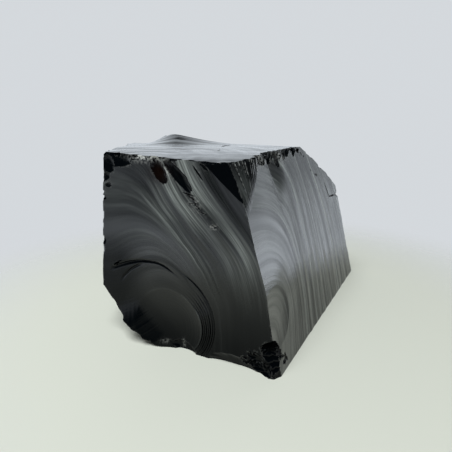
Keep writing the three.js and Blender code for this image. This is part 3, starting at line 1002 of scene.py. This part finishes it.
def add_node(tree, kind, place, inputs=None, **settings):
    """A node of that kind with its settings and inputs."""
    node = tree.nodes.new(kind)
    node.location = place
    for key, value in settings.items():
        setattr(node, key, value)
    fill_inputs(tree, node, inputs or {})
    return node


def maths(tree, place, operation, *terms, **settings):
    """The result of a Math node for those terms."""
    inputs = dict(enumerate(terms))
    return add_node(tree, "ShaderNodeMath", place, inputs, operation=operation, **settings).outputs["Value"]


def spread(tree, place, source, low, high, to_low=0.0, to_high=1.0, kind="LINEAR"):
    """A value carried from one range to another by a Map Range node."""
    inputs = {"Value": source, "From Min": low, "From Max": high, "To Min": to_low, "To Max": to_high}
    return add_node(tree, "ShaderNodeMapRange", place, inputs, interpolation_type=kind).outputs["Result"]


def blend(tree, place, factor, first, second):
    """The mix of two colours: inputs 6 and 7 of a Mix node are its colours and output 2 is the result."""
    inputs = {0: factor, 6: first, 7: second}
    return add_node(tree, "ShaderNodeMix", place, inputs, data_type="RGBA").outputs[2]


def fill_ramp(node, stops, low, high):
    """Gives a colour ramp grey stops, from their places between low and high and their values."""
    elements = node.color_ramp.elements
    elements.remove(elements[1])
    elements[0].position = 0.0
    elements[0].color = (stops[0][1],) * 3 + (1.0,)
    for place, value in stops:
        stop = elements.new((place - low) / (high - low))
        stop.color = (value, value, value, 1.0)


# Stretch of the flow map in waves per centimetre across and along, noise detail, lower and upper limit
BAND_LAYERS = (
    ((1.3, 0.1, 1.0), 2.0, 0.3, 0.65),
    ((4.5, 0.22, 1.0), 3.0, 0.3, 0.7),
    ((14.0, 0.5, 1.0), 2.0, 0.35, 0.7),
    ((2.4, 0.06, 1.0), 6.0, 0.33, 0.67),
)


def flow_bands_group():
    """Node group: stretched noise along the flow map, as masks of soft bands, fine lines and streaks."""
    tree = bpy.data.node_groups.new("Flow bands", "ShaderNodeTree")
    tree.interface.new_socket("Flow", in_out="INPUT", socket_type="NodeSocketVector")
    for name in ("Bands", "Lines", "Streaks"):
        tree.interface.new_socket(name, in_out="OUTPUT", socket_type="NodeSocketFloat")
    start = add_node(tree, "NodeGroupInput", (-900, 0)).outputs["Flow"]
    layers = []
    for row, (stretch, detail, low, high) in enumerate(BAND_LAYERS):
        y = -260 * row
        fit = add_node(tree, "ShaderNodeVectorMath", (-700, y), {0: start, 1: stretch}, operation="MULTIPLY")
        inputs = {"Vector": fit.outputs["Vector"], "Scale": 1.0, "Detail": detail, "Roughness": 0.55}
        grain = add_node(tree, "ShaderNodeTexNoise", (-500, y), inputs).outputs["Fac"]
        layers.append(spread(tree, (-300, y), grain, low, high, kind="SMOOTHSTEP"))
    broad, narrow, lines, streaks = layers
    lift = spread(tree, (-100, -260), narrow, 0, 1, 0.35, 1.0)
    bands = maths(tree, (0, 0), "MULTIPLY", broad, lift)
    add_node(tree, "NodeGroupOutput", (600, 0), {"Bands": bands, "Lines": lines, "Streaks": streaks})
    return tree


# Glass and its coat: refraction, roughness of the coat, and the roughness that bands, bruises and blur bring
GLASS_IOR = 1.2
COAT_IOR = 1.5
COAT_ROUGHNESS = 0.1
BAND_ROUGHNESS = 0.34
BRUISE_ROUGHNESS = 0.6
BLUR_ROUGHNESS = 0.12

# Fine lines: least and largest share of a band, strength and depth in metres of their bump
LINE_SHARE = (0.4, 1.05)
LINE_BUMP = 0.12
LINE_DEPTH = 0.0005

# How far the streaks swing the coat weight, how bruised a worn edge is, grains of a bruise per metre, their
# limits
GLOSS_SWING = 0.9
WEAR_SHARE = 0.1
GRIT_SCALE = 900.0
GRIT_LIMITS = (0.42, 0.62)


def obsidian_material(glass):
    """Black glass under a clear coat.

    Silver bands and single streaks follow the flow map, bruises whiten and roughen the glass, the pit is
    rusty. The coat's weight comes from the corner values, with painted shade and painted reflection, and
    swings with the uneven streaks.
    """
    material = bpy.data.materials.new(SLOT)
    material.use_nodes = True
    tree = material.node_tree
    tree.nodes.clear()
    sheen, bruise, rust, streak, blur, gloss, wear = [
        add_node(tree, "ShaderNodeAttribute", (-900, -200 - 180 * row), attribute_name=name).outputs["Fac"]
        for row, name in enumerate((*CORNER_VALUES, "wear"))
    ]
    flow = add_node(tree, "ShaderNodeUVMap", (-900, 0), uv_map="flow").outputs["UV"]
    bands = add_node(tree, "ShaderNodeGroup", (-700, 0), node_tree=flow_bands_group())
    fill_inputs(tree, bands, {"Flow": flow})
    bands = bands.outputs
    lines = spread(tree, (-500, -60), bands["Lines"], 0, 1, *LINE_SHARE)
    banded = maths(tree, (-300, 0), "MULTIPLY", bands["Bands"], lines)
    shining = maths(tree, (-120, 0), "MULTIPLY", banded, sheen)
    across = add_node(tree, "ShaderNodeSeparateXYZ", (-700, -700), {0: flow}).outputs["X"]
    span = maths(tree, (-500, -700), "MULTIPLY", across, 10 / FLOW_SPAN)
    ramp = add_node(tree, "ShaderNodeValToRGB", (-300, -700), {"Fac": span})
    stops = [
        (middle + side * half, strong * (side == 0))
        for middle, half, strong in STREAKS
        for side in (-1, 0, 1)
    ]
    fill_ramp(ramp, stops, 0.0, FLOW_SPAN)
    single = maths(tree, (0, -700), "MULTIPLY", ramp.outputs["Color"], streak)
    ragged = maths(tree, (160, -700), "MULTIPLY", single, lines)
    total = maths(tree, (-30, 160), "ADD", shining, ragged)
    strength = maths(tree, (60, 0), "MULTIPLY", total, glass.band_strength, use_clamp=True)
    place = add_node(tree, "ShaderNodeTexCoord", (-900, 300)).outputs["Object"]
    inputs = {"Vector": place, "Scale": GRIT_SCALE, "Detail": 3.0}
    grit = add_node(tree, "ShaderNodeTexNoise", (-700, 300), inputs).outputs["Fac"]
    gritty = spread(tree, (-500, 300), grit, *GRIT_LIMITS)
    worn = maths(tree, (-500, -500), "MULTIPLY", wear, WEAR_SHARE)
    hurt = maths(tree, (-300, -400), "ADD", worn, bruise)
    crushed = maths(tree, (-120, -300), "MULTIPLY", hurt, gritty, use_clamp=True)
    tint = blend(tree, (260, 0), strength, glass.glass_color, glass.band_color)
    rusty = blend(tree, (440, 0), rust, tint, glass.rust_color)
    white = blend(tree, (620, 0), crushed, rusty, glass.bruise_color)
    dull = spread(tree, (440, -260), strength, 0, 1, glass.roughness, BAND_ROUGHNESS)
    matt = maths(tree, (440, -480), "MULTIPLY", crushed, BRUISE_ROUGHNESS)
    rough = maths(tree, (620, -260), "MAXIMUM", dull, matt)
    soften = maths(tree, (760, -260), "MULTIPLY_ADD", blur, BLUR_ROUGHNESS, rough)
    # Coat weight from the corner values, which carry painted shade and painted reflection
    swing = maths(tree, (440, -900), "MULTIPLY", gloss, streak)
    uneven = spread(tree, (440, -1080), bands["Streaks"], 0, 1, -GLOSS_SWING, GLOSS_SWING)
    coat = maths(tree, (620, -900), "MULTIPLY_ADD", swing, uneven, gloss, use_clamp=True)
    inputs = {"Height": bands["Lines"], "Strength": LINE_BUMP, "Distance": LINE_DEPTH}
    bump = add_node(tree, "ShaderNodeBump", (620, -480), inputs).outputs["Normal"]
    shader = add_node(tree, "ShaderNodeBsdfPrincipled", (900, 0), {
        "Base Color": white, "Roughness": soften, "IOR": GLASS_IOR, "Normal": bump,
        "Coat Weight": coat, "Coat IOR": COAT_IOR, "Coat Roughness": COAT_ROUGHNESS,
    })
    add_node(tree, "ShaderNodeOutputMaterial", (1200, 0), {"Surface": shader.outputs["BSDF"]})
    return material


def floor_material(look):
    """Pale matt floor with a faint broad mottle that fades into the backdrop."""
    material = bpy.data.materials.new("pale floor")
    material.use_nodes = True
    tree = material.node_tree
    place = add_node(tree, "ShaderNodeTexCoord", (-700, 0)).outputs["Object"]
    cloud = add_node(tree, "ShaderNodeTexNoise", (-500, 0), {"Vector": place, "Scale": 3.0, "Detail": 2.0})
    shade = [FLOOR_MOTTLE * part for part in look.floor_color[:3]] + [1.0]
    tint = blend(tree, (-250, 0), cloud.outputs["Fac"], shade, look.floor_color)
    away = add_node(tree, "ShaderNodeVectorMath", (-500, -300), {0: place}, operation="LENGTH")
    fade = spread(tree, (-250, -300), away.outputs["Value"], *FLOOR_FADE, 1.0, 0.0, kind="SMOOTHSTEP")
    fill_inputs(tree, tree.nodes["Principled BSDF"], {
        "Base Color": tint, "Roughness": FLOOR_ROUGHNESS, "Specular IOR Level": FLOOR_SPECULAR, "Alpha": fade,
    })
    return material


# Stage

# Floor: radius and where it fades, in metres, brightness of its mottle, roughness and reflection
FLOOR_RADIUS = 0.4
FLOOR_FADE = (0.1, 0.24)
FLOOR_MOTTLE = 0.96
FLOOR_ROUGHNESS = 0.75
FLOOR_SPECULAR = 0.15

CAMERA_PLACE = (-0.015, -0.177, 0.100)
CAMERA_PITCH = 15.77
CAMERA_LENS = 27.08
CAMERA_NEAR = 0.01

SOFTBOX_PLACE = (-0.3, -0.5, 1.2)
SOFTBOX_SIZE = 0.9
SOFTBOX_POWER = 22.5

# Dark flag: heading, and its outer and inner edge as parts of its size
FLAG_HEADING = -118.0
FLAG_SOFTNESS = (1.2, 0.65)

# Ceiling: it begins higher towards the back, between those parts of the direction along y, up to that sine
CEILING_REACH = (0.4, 0.95)
CEILING_BACK = 0.9
CEILING_SOFTNESS = 0.16
CEILING_COLOR = (0.02, 0.02, 0.02, 1)

# Light of the surroundings from the side to the back: the direction's part along y, share of the brightest
WALL_LIGHT = (
    (0.3, 0.4), (0.43, 1.0), (0.5, 0.85), (0.58, 0.46), (0.67, 0.27), (0.8, 0.25), (0.95, 0.29), (1.0, 0.29),
)


def floor_mesh():
    """A flat round floor: rings of points at height 0, each radius 1.6 times the last."""
    radii = FLOOR_RADIUS * 1.6 ** -np.arange(11.0)[::-1]
    turn = np.linspace(0, TAU, 96, endpoint=False)
    x, y = radii[:, None] * np.cos(turn), radii[:, None] * np.sin(turn)
    points = np.vstack([[0, 0, 0], np.stack([x, y, 0 * x], -1).reshape(-1, 3)])
    fan, quads, _ = grid_faces(*x.shape)
    mesh = bpy.data.meshes.new("floor")
    mesh.from_pydata(points.tolist(), [], fan[:, ::-1].tolist() + quads[:, ::-1].tolist())
    return mesh


def studio_world(look):
    """Pale walls, brightest a little behind the sides, a dark ceiling, a soft dark flag, a plain backdrop."""
    world = bpy.data.worlds.new("studio")
    bpy.context.scene.world = world
    world.use_nodes = True
    tree = world.node_tree
    tree.nodes.clear()
    place = add_node(tree, "ShaderNodeTexCoord", (-700, 0)).outputs["Generated"]
    split = add_node(tree, "ShaderNodeSeparateXYZ", (-700, -250), {0: place}).outputs
    low, high = WALL_LIGHT[0][0], WALL_LIGHT[-1][0]
    reach = spread(tree, (-500, -250), split["Y"], low, high)
    wall = add_node(tree, "ShaderNodeValToRGB", (-300, -250), {"Fac": reach})
    fill_ramp(wall, WALL_LIGHT, low, high)
    lift = maths(tree, (0, -250), "MULTIPLY", wall.outputs["Color"], look.light_strength / WALL_LIGHT[0][1])
    toward = [float(part) for part in face_axes(FLAG_HEADING, look.flag_height)[0]]
    inputs = {0: place, 1: toward}
    facing = add_node(tree, "ShaderNodeVectorMath", (-500, 250), inputs, operation="DOT_PRODUCT")
    edge = [float(np.cos(np.radians(look.flag_size * part))) for part in FLAG_SOFTNESS]
    flag = spread(tree, (-300, 250), facing.outputs["Value"], *edge, kind="SMOOTHSTEP")
    limit = spread(tree, (-500, 500), split["Y"], *CEILING_REACH, look.wall_height, CEILING_BACK)
    over = maths(tree, (-300, 500), "SUBTRACT", split["Z"], limit)
    ceiling = spread(tree, (-100, 500), over, 0.0, CEILING_SOFTNESS, kind="SMOOTHSTEP")
    either = maths(tree, (-100, 200), "MAXIMUM", flag, ceiling)
    dark = blend(tree, (-100, 0), either, look.light_color, CEILING_COLOR)
    around = add_node(tree, "ShaderNodeBackground", (150, 0), {"Color": dark, "Strength": lift}).outputs[0]
    inputs = {"Color": look.backdrop_color, "Strength": 1.0}
    plain = add_node(tree, "ShaderNodeBackground", (150, -200), inputs).outputs[0]
    ray = add_node(tree, "ShaderNodeLightPath", (150, 320)).outputs["Is Camera Ray"]
    choose = add_node(tree, "ShaderNodeMixShader", (450, 0), {0: ray, 1: around, 2: plain})
    add_node(tree, "ShaderNodeOutputWorld", (700, 0), {"Surface": choose.outputs["Shader"]})


# Add-on


def color_property(name, description, default):
    """A colour the user can pick."""
    return bpy.props.FloatVectorProperty(
        name=name, description=description, subtype="COLOR", size=4, min=0, max=1, default=default
    )


def number_property(name, description, default, low, high, **more):
    """A number the user can set between two limits."""
    return bpy.props.FloatProperty(
        name=name, description=description, default=default, min=low, max=high, **more
    )


class ObsidianShape(bpy.types.PropertyGroup):
    """Carving of the stone."""

    grid_step: number_property("Grid step", "Coarseness of the fracture grids", 1.0, 0.8, 4)
    ring_height: number_property("Ring height", "Strength of the rings, ribs and hackles", 1.0, 0, 2)
    flake_depth: number_property("Flake depth", "Depth of the flake scars, as a factor", 1.0, 0.2, 1.5)
    chips: bpy.props.IntProperty(
        name="Edge chips", description="Number of small chips along the edges", default=110, min=0, max=400
    )


class ObsidianGlass(bpy.types.PropertyGroup):
    """Colours of the stone."""

    glass_color: color_property("Glass", "Colour of the black glass", (0.0008, 0.0015, 0.0021, 1))
    band_color: color_property("Bands", "Colour of the flow bands", (0.3, 0.315, 0.285, 1))
    bruise_color: color_property("Bruises", "Colour of crushed spots and edges", (0.56, 0.55, 0.5, 1))
    rust_color: color_property("Rust", "Colour inside the pit", (0.005, 0.0022, 0.0014, 1))
    band_strength: number_property("Band strength", "How clearly the flow bands show", 1.0, 0, 2)
    roughness: number_property("Roughness", "Roughness of the clean glass", 0.1, 0, 1, subtype="FACTOR")


class ObsidianStage(bpy.types.PropertyGroup):
    """Floor, light and backdrop."""

    floor_color: color_property("Floor", "Colour of the floor", (0.71, 0.695, 0.58, 1))
    backdrop_color: color_property("Backdrop", "Colour behind the stone", (0.66, 0.69, 0.72, 1))
    light_color: color_property("Light", "Colour of the surroundings", (0.86, 0.93, 1.0, 1))
    light_strength: number_property("Light strength", "Brightness of the surroundings", 1.25, 0, 5)
    flag_size: number_property("Flag size", "Half angle of the dark flag in degrees", 40.0, 1, 80)
    wall_height: number_property("Wall height", "Sine of the angle where the ceiling begins", 0.03, -1, 1)
    flag_height: number_property("Flag height", "Height of the dark flag in degrees", 25.0, -60, 80)


class OBSIDIAN_OT_chunk(bpy.types.Operator):
    """Carve the stone and give it its glass"""

    bl_idname = "obsidian.chunk"
    bl_label = "Obsidian chunk"

    def execute(self, context):
        scene = context.scene
        mesh = build_stone(scene.obsidian_shape)
        mesh.materials.append(obsidian_material(scene.obsidian_glass))
        stone = bpy.data.objects.new("chunk", mesh)
        scene.collection.objects.link(stone)
        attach(stone, "root")
        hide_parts(NODE)
        return {"FINISHED"}


class OBSIDIAN_OT_stage(bpy.types.Operator):
    """Set the floor, light and camera"""

    bl_idname = "obsidian.stage"
    bl_label = "Stage"

    def execute(self, context):
        scene = context.scene
        look = scene.obsidian_stage
        mesh = floor_mesh()
        mesh.materials.append(floor_material(look))
        floor = bpy.data.objects.new("floor", mesh)
        scene.collection.objects.link(floor)
        studio_world(look)
        lamp = bpy.data.lights.new("softbox", "AREA")
        lamp.shape = "DISK"
        lamp.size = SOFTBOX_SIZE
        lamp.energy = SOFTBOX_POWER
        lamp.color = look.light_color[:3]
        softbox = bpy.data.objects.new("softbox", lamp)
        softbox.location = SOFTBOX_PLACE
        softbox.visible_glossy = False
        scene.collection.objects.link(softbox)
        camera = bpy.data.objects.new("camera", bpy.data.cameras.new("camera"))
        camera.data.lens = CAMERA_LENS
        camera.data.clip_start = CAMERA_NEAR
        camera.location = CAMERA_PLACE
        camera.rotation_euler = (np.radians(90 - CAMERA_PITCH), 0, 0)
        scene.collection.objects.link(camera)
        scene.camera = camera
        scene.view_settings.view_transform = "Standard"
        return {"FINISHED"}


class OBSIDIAN_PT_panel(bpy.types.Panel):
    """Sidebar panel with the sizes, colours and the two build buttons"""

    bl_idname = "OBSIDIAN_PT_panel"
    bl_label = "Obsidian chunk"
    bl_space_type = "VIEW_3D"
    bl_region_type = "UI"
    bl_category = "Obsidian"

    def draw(self, context):
        for group in ("obsidian_shape", "obsidian_glass", "obsidian_stage"):
            settings = getattr(context.scene, group)
            column = self.layout.box().column()
            for key in settings.__annotations__:
                column.prop(settings, key)
        self.layout.operator(OBSIDIAN_OT_chunk.bl_idname)
        self.layout.operator(OBSIDIAN_OT_stage.bl_idname)


GROUPS = {"obsidian_shape": ObsidianShape, "obsidian_glass": ObsidianGlass, "obsidian_stage": ObsidianStage}
CLASSES = (*GROUPS.values(), OBSIDIAN_OT_chunk, OBSIDIAN_OT_stage, OBSIDIAN_PT_panel)


def register():
    """Adds the classes and the scene's settings."""
    for item in CLASSES:
        bpy.utils.register_class(item)
    for key, group in GROUPS.items():
        setattr(bpy.types.Scene, key, bpy.props.PointerProperty(type=group))


def unregister():
    """Takes the settings and classes away again."""
    for key in GROUPS:
        delattr(bpy.types.Scene, key)
    for item in reversed(CLASSES):
        bpy.utils.unregister_class(item)


def main():
    """Builds the stone and the stage."""
    register()
    bpy.ops.obsidian.chunk()
    bpy.ops.obsidian.stage()


if __name__ == "__main__":
    main()
